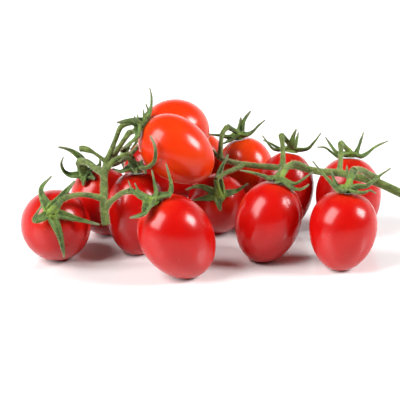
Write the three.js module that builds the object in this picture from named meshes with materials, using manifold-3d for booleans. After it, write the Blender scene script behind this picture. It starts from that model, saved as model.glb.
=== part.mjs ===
// A truss of fourteen small plum tomatoes on the vine, lying on a flat surface.
// Millimetres, +Z up, z = 0 is the surface, +X runs along the main stem to its cut end.
import * as THREE from 'three';
import { mergeVertices } from 'three/addons/utils/BufferGeometryUtils.js';
import Module from 'manifold-3d';

const wasm = await Module();
wasm.setup();

// ---- driving dimensions -------------------------------------------------

const ORIGIN = [9, 27.9, 0]; // middle of the truss on the surface, in the layout below
const GAP = 0.3; // clearance between pieces that touch
const FLAT = 0.4; // how far a resting fruit is pressed flat on the surface
const FULLNESS = 2.05; // 2 is an ellipse, more is boxier
const FRUIT_SIDES = 16;
const FRUIT_ROWS = 10;
const DIMPLE = { radius: 3.4, depth: 0.8 };
const DISC = { base: 3.2, top: 2.2, under: -0.15, height: 1.7, sides: 8, rooted: 0.8 };
const STEM_SIDES = 6;
const STEM_STEP = 3.6; // length of one ring of a thin stalk
const RACHIS_STEP = 5;
const STALK = { foot: 1.5, middle: 1.25, knuckle: 1.6, neck: 1.35, seat: 2.1 };
const RISE = 2.4; // the stalk meets the fruit along its axis from this far out
const SEPAL = {
  steps: 5,
  foot: { out: 0.5, up: 0.4 },
  widths: [1.45, 1.4, 1.1, 0.8, 0.5, 0.24], // shares of the sepal's own width, foot to tip
  thick: [1.9, 1.5, 1.1, 0.9, 0.7, 0.6],
};
const EVEN_SEPALS = { count: 5, length: 12, lift: 2, width: 3 }; // of the calyxes that lie out of sight
const GREEN = { stem: 0x6f8a4a, calyx: 0x5f7f3c };
const RED = { ripe: 0xc81a12, orange: 0xe0431c };

// ---- layout -------------------------------------------------------------
// A fruit stands at [x, y], or hangs at [x, y, z]. lean points to its stem end,
// and taper is how much it narrows towards its blossom end.
// stalk runs from the vine to the knuckle, and stout is its share of the usual
// thickness. A sepal is its greatest width, and then the offsets from the stem
// end that it passes, the last being its tip.

const RACHIS = {
  points: [
    [106, 1, 30.5], [100, 4, 32.5], [89, 8, 36.5], [80, 10, 38.5], [70, 11, 40.5], [60.5, 13, 40.5],
    [53, 15, 41.5], [47.5, 19, 41.5], [42, 22, 39.5], [35, 26, 38.5], [22.5, 33, 37.5], [14, 46, 35],
    [10.5, 53, 34], [5, 62, 36], [-8, 66, 39.5], [-22, 61, 43], [-31, 46, 43.5], [-37, 30, 42.5],
    [-42, 16, 44], [-47, 2, 47],
  ],
  radii: [2.3, 2, 1.7, 1.4, 1.1, 1.1, 1.2, 1.4],
};
const LEFT_STEM = {
  points: [
    [-46.5, -15, 22.5], [-47, -14, 27], [-47.5, -12, 34.5], [-47.5, -8, 39], [-47.5, -1, 44.5],
    [-46.5, 4, 49],
  ],
  radii: [2.1, 2, 2, 1.8, 1.7],
};
const BARE_STUB = {
  points: [[-46.5, 3, 49], [-53.5, 4, 54], [-58, 5.5, 55.2], [-60, 6, 55]],
  radii: [1.3, 1, 0.9, 1.7, 1.6],
};

const FRUITS = [
  {
    name: '01', at: [-72, -4.5], lean: [-0.06, -0.8, 0.6], girth: 35, length: 41, skin: RED.ripe,
    stalk: [[-47.5, -12, 35], [-54, -14, 37.5], [-61, -19, 39.5], [-67, -25, 39.5]],
    sepals: [
      [3, [-5, 10, 9], [0, 13, 15]],
      [3, [-8, -8, -1], [-3, -9.5, 8.5]],
      [3, [4, -4, -8], [6, 3, -24]],
      [2.8, [12, 0.5, -3], [24, -1, -5.5]],
      [3.8, [7, 4, 9], [12, 6, 15]],
    ],
  },
  {
    name: '02', at: [-49.5, 31.5], lean: [-0.45, -0.39, 0.8], girth: 33, length: 39, stout: 1.3, skin: RED.ripe,
    stalk: [[-47.5, -1, 44.5], [-52.5, 7, 44.5], [-57, 16, 44.5], [-61.5, 22, 42.5]],
    sepals: [
      [3.8, [-1.5, 3, 4.5], [-2, 4, 8.5], [-5.5, 4, 12], [-9.5, 4, 14], [-14, 4, 15]],
      [3.2, [-4.5, -1, 0.5], [-8.5, -1, 1], [-11.5, -1, 3.5], [-12.5, -2, 8], [-11, -3, 12]],
      [4, [-0.5, -4, 0], [-1, -5, -3]],
      [4, [3, -3, 1], [5, -4, -0.5]],
      [2.6, [6.5, 5.5, 3], [7, 8.5, 8.5]],
    ],
  },
  {
    name: '03', at: [-32, 5], lean: [0, 0.1, 1], girth: 30, length: 43, taper: 0.05, stout: 1.05, skin: RED.ripe,
    stalk: [[-47.5, -2, 46], [-45, -1, 48.5], [-42.5, 0, 51], [-39, 1, 52.5], [-36.5, 2, 53], [-34, 3, 51]],
    sepals: [
      [3, [3, -5, 3], [7, -11, 6], [10, -16.5, 12], [10, -17, 19], [7.5, -13, 23.5]],
      [4.4, [-2.5, -7, 7.5], [-5, -9, 10], [-8, -9, 8]],
      [5.6, [-4, -6, 2.5], [-7.5, -8, 2.5], [-11.5, -7, 4]],
      [4.8, [1.5, -4, 6], [3.5, -6, 4.5], [5, -9, 2]],
      [4.4, [-0.5, -7, 3.5], [0.5, -10, 2]],
    ],
  },
  {
    name: '04', at: [-11, -29], lean: [-0.49, -0.18, 0.85], girth: 36, length: 45.5, taper: 0.07, skin: RED.ripe,
    stalk: [[-47, -13, 30], [-44.5, -15, 34], [-41, -19, 38.5], [-37.5, -24, 42.5], [-33.5, -28, 45]],
    sepals: [
      [2.2, [1.5, 1, 5], [0.5, 2, 9.5], [-1, 4, 15.5]],
      [3, [4.5, 0, 2.5], [7.5, 0, 3.5], [9, 1, 7], [8, 2, 12], [6, 3, 19]],
      [4.8, [-2.5, -6, -1], [-4, -8, -3], [-7.5, -9, -4], [-11.5, -9, -4.5]],
      [1.6, [-4.5, 3, 2.5], [-7.5, 4, 5], [-9.5, 5, 8.5]],
      [1.6, [-7, 1, 2.5], [-10.5, 3, 5.5], [-12.5, 4, 10]],
    ],
  },
  {
    name: '05', at: [-21.5, 58, 24.3], lean: [-0.84, 0.1, 0.52], girth: 30.5, length: 40, skin: RED.ripe,
    stalk: [[-42, 17, 44.5], [-43.5, 30, 44], [-43.5, 42, 42.5], [-42.5, 50, 40.5]],
    sepals: [
      [2.6, [2, -1, -1], [5, 0, 2]],
      [2.6, [-2, -3, -1.5], [-3, -4, -4]],
      [2.6, [-2.5, 3, 1], [-4, 4, 2]],
      [2.8, [3, 5, -4], [7, 7, -7]],
      [2.8, [1, -4, -4], [6, -5, -8]],
    ],
  },
  {
    name: '06', at: [-11.5, 6.6, 54.2], lean: [-0.8, 0.16, 0.56], girth: 31.5, length: 41, taper: 0.08, skin: RED.orange,
    stalk: [[-46.5, 4, 49], [-42, 8, 59.5], [-39.5, 9.5, 65.2], [-36.5, 10, 67.2]],
    sepals: [
      [3, [3, 4, 4], [4, 6, 8.5], [4, 8, 13], [3, 9, 17]],
      [2.8, [1, -3, 3.5], [0.5, -3, 6.5], [0, -3, 9.5]],
      [2, [-1, -5, 2.5], [-2.5, -7, 4.5], [-4.5, -8, 7.5]],
      [4, [-2.5, -4, 2.5], [-6, -6, 4], [-9.5, -8, 4.5], [-13, -9, 4.5]],
      [3.8, [-1, -7, -2], [-3, -9, -4], [-7, -12, -6], [-11, -13, -8.5]],
    ],
  },
  {
    name: '07', at: [-12.7, 44, 52], lean: [-0.91, -0.37, 0.15], girth: 33, length: 35.5, skin: RED.orange,
    stalk: [[-46, 4, 49], [-43, 9, 50.5], [-40, 16, 53.5], [-36, 24, 57.5]],
    sepals: [
      [2.8, [3, -3, 10], [2.5, -4, 12.5], [1.5, -5, 15.5]],
      [2.8, [4, 2.5, 7.5], [4, 6.5, 10]],
      [3, [-2.5, 9, 1.5], [-3.5, 15, 3.5]],
      [3, [-1.5, 3, -5], [-4.5, 2, -7]],
      [3, [-2.5, -7, -3.5], [-6.5, -10, -7.5]],
    ],
  },
  {
    name: '08', at: [25.5, 70], lean: [-0.22, 0.12, 0.97], girth: 29.5, length: 40, taper: 0.1, skin: RED.orange,
    stalk: [[10.5, 53, 34], [11, 57, 41.5], [12, 61, 45.5], [14.5, 65, 47.5]],
    sepals: [
      [3.6, [-3.5, -1, 0], [-7.5, -1, 0.5], [-11, -1, 1.5], [-17, -1, 2.5]],
      [3.6, [-0.5, 1, 3], [0, 1.5, 7], [0.5, 2, 11]],
      [3.2, [1.5, 4, 2.5], [2.5, 5.5, 7.5], [6, 7, 13]],
      [3.2, [4, -1, 1.5], [7, -1, 3.5], [9.5, -1, 6.5], [13.5, -1, 10.5]],
      [3.6, [-6.5, -4, -1], [-9.5, -4.5, -2]],
    ],
  },
  {
    name: '09', at: [-0.5, 88], lean: [0.05, 0.04, 1], girth: 30, length: 37, skin: RED.orange,
    stalk: [[-8, 66, 39], [-10, 71, 43.5], [-6, 80, 46]],
    sepals: [
      [2.8, [-5, 0, 1], [-10, 1, 3]],
      [2.8, [-2, -5, 1], [-4, -10, 0]],
      [2.8, [1.5, -5, 0], [2, -9, -3]],
      [2.8, [2, 5, 1], [2, 9, 3]],
      [2.8, [-2, 5, 1], [-5, 9, 4]],
    ],
  },
  {
    name: '10', at: [9, 32.5], lean: [0.05, -0.86, 0.51], girth: 31, length: 40, stout: 0.85, skin: RED.ripe,
    stalk: [[22.5, 33, 37.5], [19.5, 28, 37.5], [11.5, 19, 37], [8, 12, 36.5]],
    sepals: [
      [3.2, [-0.5, 8, 7], [1, 12, 11], [3, 15, 14], [4.5, 17, 16.5]],
      [2.4, [-10, 0.5, 5], [-17.5, -2, 4]],
      [2.6, [-7.5, -0.5, -1], [-13.5, 5, -4]],
      [3.2, [-0.5, -3, -3], [0.5, -3, -7]],
      [2.2, [8.5, 3.5, 1.5], [14.5, 2, 6]],
    ],
  },
  {
    name: '11', at: [34, -5], lean: [0.27, 0.11, 0.95], girth: 32.5, length: 42, taper: 0.06, skin: RED.ripe,
    stalk: [[53.5, 15, 41.5], [50, 13, 44.5], [46.5, 10, 46], [44, 6, 45.5], [42, 3, 44]],
    sepals: [
      [2.8, [-4, -2, 1], [-9, -3, 4], [-14.5, -3, 6], [-20, -2, 7]],
      [3.2, [-1.5, -3, 1.5], [-1.5, -4, 5], [0.5, -3, 9]],
      [3.2, [4, -4, -1.5], [7, -4, -2.5], [10.5, -4, -2.5], [14.5, -3, 0]],
      [3, [4.5, 1, -1], [7.5, 1, -1.5], [11.5, 1, 1], [16.5, 2, 5]],
      [3, [-1.5, -4, 0.5], [-3, -5, 0]],
    ],
  },
  {
    name: '12', at: [44, 41], lean: [0.16, 0.27, 0.95], girth: 30, length: 41.5, taper: 0.06, skin: RED.ripe,
    stalk: [[42, 22, 39.5], [42.5, 33, 45.5], [42, 43.5, 50]],
    sepals: [
      [2.4, [-5.5, 0, 0.5], [-9.5, 0, 1.5], [-12.5, 1, 5], [-15, 2, 8.5]],
      [2.6, [-5, 3, 0], [-8, 4, 1.5], [-11.5, 5, 3.5], [-14.5, 6, 4.5]],
      [3, [0, -3, 5], [1, -3, 10], [2.5, -3, 13.5]],
      [2.4, [2.5, 3, 2.5], [3.5, 5, 6], [4, 6, 9]],
      [2.8, [4.5, 0, 0.5], [9, 0, 1.5], [12, 0, 5], [15.5, 0, 10.5]],
    ],
  },
  {
    name: '13', at: [70.5, -16.5], lean: [0.1, 0.08, 0.99], girth: 33.6, length: 40.6, taper: 0.11, stout: 1.25, skin: RED.ripe,
    stalk: [[89, 8.5, 38], [85, 5, 41.5], [81.5, 1, 45], [78, -4, 47.5], [75.5, -9, 48.5]],
    sepals: [
      [3.4, [-5, -5, 1.5], [-9.5, -3, 6], [-14, -0.5, 11], [-17.5, 2, 15]],
      [2.8, [-4.5, 2, 1], [-6.5, 5, 3.5], [-8, 7, 8.5]],
      [2.4, [1, 6, 2.5], [0.5, 8, 5.5], [0, 10, 10]],
      [3.4, [5.5, -4, 3], [9, -4, 3.5], [12, -3, 5.5], [16, -1, 8.5], [21, 1, 11.5]],
      [2.8, [4, -6, 1], [7.5, -6, 1], [10.5, -5, 2], [13.5, -5, 0.5]],
    ],
  },
  {
    name: '14', at: [76.7, 33], lean: [0.02, 0.26, 0.97], girth: 33.8, length: 41, taper: 0.04, skin: RED.ripe,
    stalk: [[70, 11, 40.5], [71.5, 22, 44.5], [72, 32, 49.5]],
    sepals: [
      [3, [-4.5, -1, 0], [-8, 1, 3], [-10.5, 3, 6.5], [-12.5, 3, 10]],
      [2.6, [-6, -4, 1], [-10, -4, 4], [-13, -3, 6], [-17, -2, 6]],
      [3.4, [3.5, 1, 0.5], [5.5, 3, 5], [6.5, 4, 8.5], [7.5, 5, 12]],
      [3, [5.5, -3, 0.5], [9, -2, 2], [13, 0, 5], [20, 1, 8.5]],
      [2.8, [0, 5, 1.5], [0.5, 9, 0]],
    ],
  },
];

// ---- solids -------------------------------------------------------------

const vector = (xyz) => new THREE.Vector3(...xyz);

/** A closed geometry as a solid that can be joined and cut. */
function solid(geometry) {
  const bare = geometry.clone();
  bare.deleteAttribute('normal');
  bare.deleteAttribute('uv');
  const merged = mergeVertices(bare, 1e-4);
  const index = merged.index.array;
  const faces = [];
  for (let i = 0; i < index.length; i += 3) {
    const [a, b, c] = [index[i], index[i + 1], index[i + 2]];
    if (a !== b && b !== c && c !== a) faces.push(a, b, c);
  }
  const vertProperties = new Float32Array(merged.attributes.position.array);
  return new wasm.Manifold(new wasm.Mesh({ numProp: 3, vertProperties, triVerts: new Uint32Array(faces) }));
}

function mesh(name, body, color, roughness) {
  const { vertProperties, triVerts } = body.getMesh();
  const geometry = new THREE.BufferGeometry();
  geometry.setAttribute('position', new THREE.BufferAttribute(vertProperties, 3));
  geometry.setIndex(new THREE.BufferAttribute(triVerts, 1));
  geometry.computeVertexNormals();
  const node = new THREE.Mesh(geometry, new THREE.MeshStandardMaterial({ color, roughness, metalness: 0 }));
  node.name = name;
  return node;
}

const joined = (bodies) => bodies.reduce((whole, body) => whole.add(body));

/** A value from a short list of stations spread evenly over 0 to 1. */
function along(stations, t) {
  const place = t * (stations.length - 1);
  const i = Math.min(Math.floor(place), stations.length - 2);
  return THREE.MathUtils.lerp(stations[i], stations[i + 1], place - i);
}

/** Bends an upright closed geometry of unit height along a row of points, a ring to each point. */
function bend(geometry, points, up, size, ends = {}) {
  const last = points.length - 1;
  const side = up.clone();
  const frames = points.map((point, i) => {
    const ahead = points[Math.min(i + 1, last)].clone().sub(points[Math.max(i - 1, 0)]).normalize();
    if (i === 0 && ends.first) ahead.copy(ends.first);
    if (i === last && ends.last) ahead.copy(ends.last);
    side.addScaledVector(ahead, -side.dot(ahead)).normalize();
    return { point, flat: side.clone(), across: ahead.clone().cross(side) };
  });
  const position = geometry.attributes.position;
  for (let i = 0; i < position.count; i += 1) {
    const ring = Math.round((position.getY(i) + 0.5) * last);
    const { point, flat, across } = frames[ring];
    const [wide, thick] = size(ring / last);
    const moved = point.clone()
      .addScaledVector(across, position.getX(i) * wide)
      .addScaledVector(flat, position.getZ(i) * thick);
    position.setXYZ(i, moved.x, moved.y, moved.z);
  }
  return solid(geometry);
}

// ---- fruits -------------------------------------------------------------

/** How wide a tapered fruit is at a height of -1 to 1 along its axis, against an even one. */
const tapered = (taper, height) => (1 + taper * height) / (1 + taper ** 2 / 2);

/** A fruit's place and shape: centre, axis to the stem end, half girth and half length. */
function placed(spec) {
  const axis = vector(spec.lean).normalize();
  const radius = spec.girth / 2;
  const half = spec.length / 2;
  const [x, y, hung] = spec.at;
  const standing = Math.hypot(radius * Math.sqrt(1 - axis.z ** 2), half * axis.z) - FLAT;
  const centre = new THREE.Vector3(x, y, hung ?? standing);
  const end = centre.clone().addScaledVector(axis, half);
  return { taper: 0, stout: 1, ...spec, axis, radius, half, centre, end };
}

const fruits = FRUITS.map(placed);

/** Moves a point out of every fruit in the list, to `gap` from its skin. */
function clearOf(list, gap, point) {
  const moved = point.clone();
  for (const { centre, axis, radius, half, taper } of list) {
    const offset = moved.clone().sub(centre);
    const h = offset.dot(axis);
    const wide = Math.sqrt(Math.max(offset.lengthSq() - h * h, 0));
    const r = wide / tapered(taper, THREE.MathUtils.clamp(h / half, -1, 1));
    const sum = (r / (radius + gap)) ** FULLNESS + (Math.abs(h) / (half + gap)) ** FULLNESS;
    const level = sum ** (1 / FULLNESS);
    if (level < 1) moved.copy(centre).addScaledVector(offset, 1 / level);
  }
  return moved;
}

/** Half of the fruit's outline, from the blossom end up to the dimple under the calyx. */
function outline({ radius, half, taper }) {
  const power = 2 / FULLNESS;
  const rim = half * (1 - (DIMPLE.radius / radius) ** FULLNESS) ** (1 / FULLNESS);
  const top = Math.asin((rim / half) ** (1 / power));
  const points = [new THREE.Vector2(0, -half)];
  for (let i = 1; i < FRUIT_ROWS; i += 1) {
    const angle = THREE.MathUtils.lerp(-Math.PI / 2, top, i / (FRUIT_ROWS - 1));
    const height = Math.sign(angle) * half * Math.abs(Math.sin(angle)) ** power;
    const wide = radius * Math.cos(angle) ** power;
    points.push(new THREE.Vector2(wide * tapered(taper, height / half), height));
  }
  points.push(new THREE.Vector2(0, rim - DIMPLE.depth));
  return points;
}

const under = new THREE.BoxGeometry(400, 400, 50).translate(0, 0, -25);

function tomato(fruit) {
  const skin = new THREE.LatheGeometry(outline(fruit), FRUIT_SIDES);
  const turn = new THREE.Quaternion().setFromUnitVectors(new THREE.Vector3(0, 1, 0), fruit.axis);
  skin.applyQuaternion(turn).translate(...fruit.centre);
  return mesh(`tomato_${fruit.name}`, solid(skin).subtract(solid(under)), fruit.skin, 0.25);
}

// ---- stems and calyxes --------------------------------------------------

/** A round stem through the points, as thick as its radii say, with its ends cut square to `ends`. */
function stem(points, radii, step, ends) {
  const length = points.slice(1).reduce((sum, point, i) => sum + point.distanceTo(points[i]), 0);
  const steps = Math.max(2, Math.round(length / step));
  const curve = new THREE.CatmullRomCurve3(points, false, 'centripetal');
  const row = curve.getSpacedPoints(steps);
  const round = new THREE.CylinderGeometry(1, 1, 1, STEM_SIDES, steps);
  const up = Math.abs(row[1].clone().sub(row[0]).normalize().z) > 0.8 ? vector([0, 1, 0]) : vector([0, 0, 1]);
  return bend(round, row, up, (t) => [along(radii, t), along(radii, t)], ends);
}

/** The points of a stalk on each side of its knuckle, with a gap between them. */
function stalk(fruit) {
  const others = fruits.filter((other) => other !== fruit);
  const lower = fruit.stalk.map((xyz) => clearOf(others, fruit.stout * STALK.knuckle + GAP, vector(xyz)));
  const knuckle = lower[lower.length - 1];
  const arrival = fruit.end.clone().addScaledVector(fruit.axis, RISE);
  const back = knuckle.clone().sub(lower[lower.length - 2]).normalize();
  const on = arrival.clone().sub(knuckle).normalize();
  const across = back.add(on).normalize();
  const root = fruit.end.clone().addScaledVector(fruit.axis, DISC.rooted);
  const upper = [knuckle.clone().addScaledVector(across, GAP / 2), arrival, root];
  lower[lower.length - 1] = knuckle.clone().addScaledVector(across, -GAP / 2);
  return { lower, upper, across };
}

/** One sepal: a thin blade that leaves the disc, passes its offsets and ends at the last of them. */
function sepal(fruit, [width, ...offsets]) {
  const points = offsets.map((offset) => fruit.end.clone().add(vector(offset)));
  const out = points[0].clone().sub(fruit.end);
  out.addScaledVector(fruit.axis, -out.dot(fruit.axis)).normalize();
  const foot = fruit.end.clone()
    .addScaledVector(fruit.axis, SEPAL.foot.up)
    .addScaledVector(out, SEPAL.foot.out);
  const curve = new THREE.CatmullRomCurve3([foot, ...points], false, 'centripetal');
  const others = fruits.filter((other) => other !== fruit);
  const row = curve.getSpacedPoints(SEPAL.steps)
    .map((place) => clearOf(others, width / 2 + GAP, place))
    .map((place) => clearOf([fruit], SEPAL.thick[0] / 2 + GAP, place));
  const blade = new THREE.BoxGeometry(1, 1, 1, 1, SEPAL.steps, 1);
  return bend(blade, row, fruit.axis, (t) => [width * along(SEPAL.widths, t), along(SEPAL.thick, t)]);
}

/** Sepals spread evenly round the disc, for the calyxes that lie out of sight. */
function evenSepals(fruit) {
  const { count, length, lift, width } = EVEN_SEPALS;
  const start = new THREE.Vector3(1, 0, 0).cross(fruit.axis).normalize();
  return Array.from({ length: count }, (_, i) => {
    const out = start.clone().applyAxisAngle(fruit.axis, (i * 2 * Math.PI) / count);
    const tip = out.multiplyScalar(length).addScaledVector(fruit.axis, lift);
    return [width, tip.clone().divideScalar(2).toArray(), tip.toArray()];
  });
}

function calyx(fruit) {
  const disc = new THREE.CylinderGeometry(DISC.top, DISC.base, DISC.height, DISC.sides);
  disc.translate(0, DISC.under + DISC.height / 2, 0);
  disc.applyQuaternion(new THREE.Quaternion().setFromUnitVectors(new THREE.Vector3(0, 1, 0), fruit.axis));
  disc.translate(...fruit.end);
  const { upper, across } = stalk(fruit);
  const radii = [STALK.knuckle, STALK.neck, STALK.neck, STALK.seat].map((radius) => fruit.stout * radius);
  const neck = stem(upper, radii, STEM_STEP, { first: across });
  const blades = (fruit.sepals ?? evenSepals(fruit)).map((row) => sepal(fruit, row));
  return mesh(`calyx_${fruit.name}`, joined([solid(disc), neck, ...blades]), GREEN.calyx, 0.8);
}

function vine() {
  const mains = [RACHIS, LEFT_STEM, BARE_STUB]
    .map(({ points, radii }) => stem(points.map(vector), radii, RACHIS_STEP));
  const radii = [STALK.foot, STALK.middle, STALK.middle, STALK.knuckle];
  const stalks = fruits.map((fruit) => {
    const { lower, across } = stalk(fruit);
    return stem(lower, radii.map((radius) => fruit.stout * radius), STEM_STEP, { last: across });
  });
  return mesh('vine', joined([...mains, ...stalks]), GREEN.stem, 0.85);
}

// ---- the truss ----------------------------------------------------------

const truss = new THREE.Group();
truss.add(vine(), ...fruits.map(calyx), ...fruits.map(tomato));
truss.position.fromArray(ORIGIN).negate();

export default truss;
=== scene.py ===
"""A truss of small plum tomatoes on the vine, lying on a white surface.

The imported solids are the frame: one vine, fourteen calyxes and fourteen fruits. Each is
replaced here by a finer piece of the same form: round stems with blended joints and fine
hairs, curled sepals with dry tips, and smooth glossy fruits with freckled skins.
"""

from __future__ import annotations

import logging
import math
from dataclasses import dataclass
from enum import Enum
from typing import Iterable, Sequence

import bpy
import numpy as np
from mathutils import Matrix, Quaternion, Vector
from mathutils.kdtree import KDTree

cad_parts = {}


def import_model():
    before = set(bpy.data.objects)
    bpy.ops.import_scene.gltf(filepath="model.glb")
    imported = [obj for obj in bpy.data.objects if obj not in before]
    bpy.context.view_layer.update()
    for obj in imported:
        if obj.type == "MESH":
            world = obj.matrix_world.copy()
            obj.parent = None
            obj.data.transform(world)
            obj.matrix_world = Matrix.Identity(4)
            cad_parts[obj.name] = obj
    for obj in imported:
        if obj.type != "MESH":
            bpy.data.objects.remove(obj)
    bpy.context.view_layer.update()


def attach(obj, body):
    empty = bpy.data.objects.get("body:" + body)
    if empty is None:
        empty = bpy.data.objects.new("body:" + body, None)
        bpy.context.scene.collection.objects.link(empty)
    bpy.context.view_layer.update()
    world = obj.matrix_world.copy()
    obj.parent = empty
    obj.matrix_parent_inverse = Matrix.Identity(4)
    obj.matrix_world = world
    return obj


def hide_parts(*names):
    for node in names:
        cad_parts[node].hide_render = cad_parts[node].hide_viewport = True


LOG = logging.getLogger("tomato_truss")

Point = tuple[float, float, float]
Piece = bpy.types.Object
Finish = bpy.types.Material
Tree = bpy.types.NodeTree
Socket = bpy.types.NodeSocket

MM = 0.001
ORIGIN = (9.0, 27.9, 0.0)  # middle of the truss on the surface, mm in the layout below
FLAT = 0.4  # mm that a resting fruit is pressed flat
FULLNESS = 2.05  # 2 is an ellipse, more is boxier
GAP = 0.3  # mm between pieces that touch
CURVE_DETAIL = 24  # places worked out between two points of a curve
TUBE_DETAIL = 3  # how finely a stem is cut, around it and between two of its points
PHASE = (0, 6)  # radians, range of a random phase
WHITE = "#FFFFFF"
BODY = "root"


# ---- layout, in millimetres -------------------------------------------------


class Ripeness(Enum):
    """How ripe a fruit is, with the record's slot for its skin."""

    RED = "skin_red"
    ORANGE = "skin_orange_red"


@dataclass(frozen=True)
class StemPlan:
    """A stem: the points that it follows and its radii, spread evenly along it."""

    points: tuple[Point, ...]
    radii: tuple[float, ...]


@dataclass(frozen=True)
class SepalPlan:
    """A sepal: its width, and the offsets from the fruit's stem end that it passes, tip last."""

    width: float
    points: tuple[Point, ...]


@dataclass(frozen=True)
class FruitPlan:
    """Where one fruit lies, its size, and the stalk and sepals that belong to it."""

    number: str
    at: tuple[float, ...]  # x and y of its middle, and z where it doesn't rest on the surface
    lean: Point  # direction of its stem end
    girth: float
    length: float
    stalk: tuple[Point, ...]  # from the vine to the knuckle
    sepals: tuple[SepalPlan, ...]
    ripeness: Ripeness = Ripeness.RED
    taper: float = 0  # how much it narrows towards its blossom end
    stout: float = 1  # share of the usual thickness of its stalk

    @property
    def axis(self) -> np.ndarray:
        """Unit vector towards the stem end."""
        return unit(np.array(self.lean, float))

    @property
    def radius(self) -> float:
        """Half of the girth, in metres."""
        return self.girth / 2 * MM

    @property
    def half(self) -> float:
        """Half of the length, in metres."""
        return self.length / 2 * MM

    @property
    def centre(self) -> np.ndarray:
        """Finds the middle of the fruit, which stands on the surface or hangs at its own height.

        Returns:
            The place in the row frame, in metres.
        """
        rise = self.axis[2]
        aside = self.girth / 2 * math.sqrt(1 - rise**2)
        standing = math.hypot(aside, self.length / 2 * rise) - FLAT
        height = self.at[2] if len(self.at) == 3 else standing
        return in_row((self.at[0], self.at[1], height))

    @property
    def end(self) -> np.ndarray:
        """The stem end in the row frame, in metres."""
        return self.centre + self.half * self.axis


RACHIS = StemPlan(
    points=(
        (106, 1, 30.5), (100, 4, 32.5), (89, 8, 36.5), (80, 10, 38.5), (70, 11, 40.5),
        (60.5, 13, 40.5), (53, 15, 41.5), (47.5, 19, 41.5), (42, 22, 39.5), (35, 26, 38.5),
        (22.5, 33, 37.5), (14, 46, 35), (10.5, 53, 34), (5, 62, 36), (-8, 66, 39.5),
        (-22, 61, 43), (-31, 46, 43.5), (-37, 30, 42.5), (-42, 16, 44), (-47, 2, 47),
    ),
    radii=(2.3, 2.0, 1.7, 1.4, 1.1, 1.1, 1.2, 1.4),
)
LEFT_STEM = StemPlan(
    points=(
        (-46.5, -15, 22.5), (-47, -14, 27), (-47.5, -12, 34.5),
        (-47.5, -8, 39), (-47.5, -1, 44.5), (-46.5, 4, 49),
    ),
    radii=(2.1, 2.0, 2.0, 1.8, 1.7),
)
BARE_STUB = StemPlan(
    points=((-46.5, 3, 49), (-53.5, 4, 54), (-58, 5.5, 55.2), (-60, 6, 55)),
    radii=(1.3, 1.0, 0.9, 1.7, 1.6),
)


def sepals(*rows: tuple) -> tuple[SepalPlan, ...]:
    """Sepal plans from rows of a width and the points that follow it."""
    return tuple(SepalPlan(row[0], row[1:]) for row in rows)


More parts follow.
